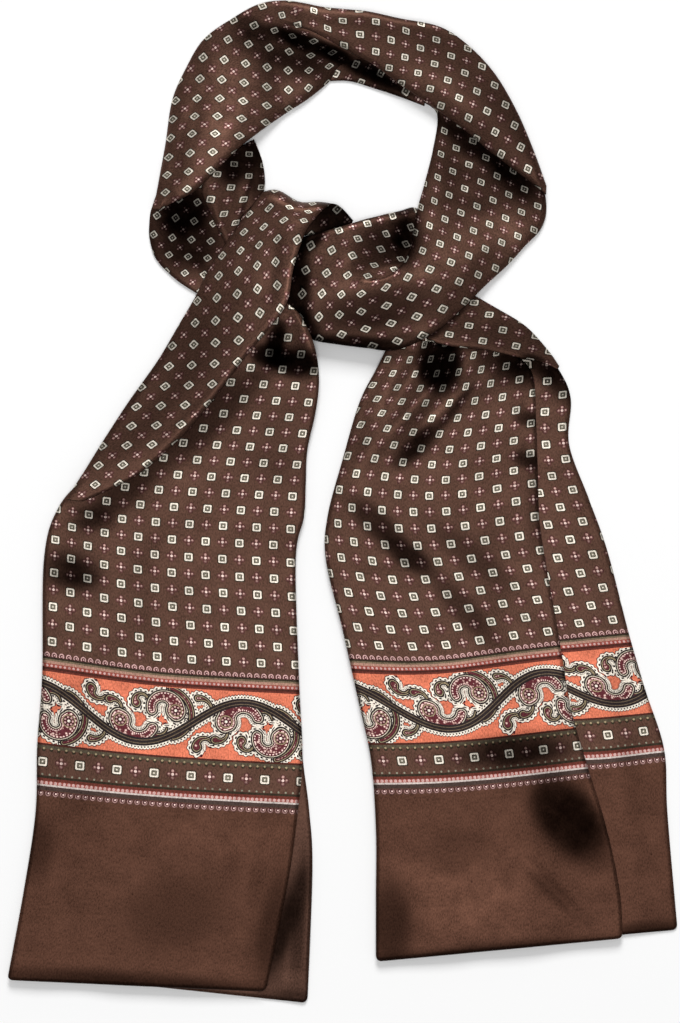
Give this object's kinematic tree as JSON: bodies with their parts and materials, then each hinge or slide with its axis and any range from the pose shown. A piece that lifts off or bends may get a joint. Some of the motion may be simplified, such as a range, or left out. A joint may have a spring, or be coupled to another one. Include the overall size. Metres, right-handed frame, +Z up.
{
  "type": "silk scarf laid flat",
  "caption": "Long narrow printed satin scarf laid flat, looped into a ring with a half knot, its two tails lying side by side.",
  "frame": {"origin": "centre of the footprint, on the surface the scarf lies on", "axes": "+Y up the scarf from the hems to the neck ring, +X to the right, +Z up off the surface"},
  "size_m": [0.402, 0.6, 0.0098],
  "materials": {
    "printed_silk": "soft satin, brown with a small printed repeat and a paisley border",
    "plain_silk": "soft satin, plain brown"
  },
  "bodies": {
    "root": {"left_tail_under": "plain_silk", "left_tail_front": "printed_silk", "left_tail_upper": "printed_silk", "right_tail_under": "printed_silk", "right_tail_front": "printed_silk", "right_exit": "printed_silk", "crossing_band": "printed_silk", "crossing_upper": "printed_silk", "tie_back": "printed_silk", "left_lobe": "printed_silk", "left_pass": "printed_silk", "top_left_band": "printed_silk", "top_right_band": "printed_silk", "top_inner_layer": "printed_silk", "knot_core": "plain_silk"}
  },
  "joints": []
}
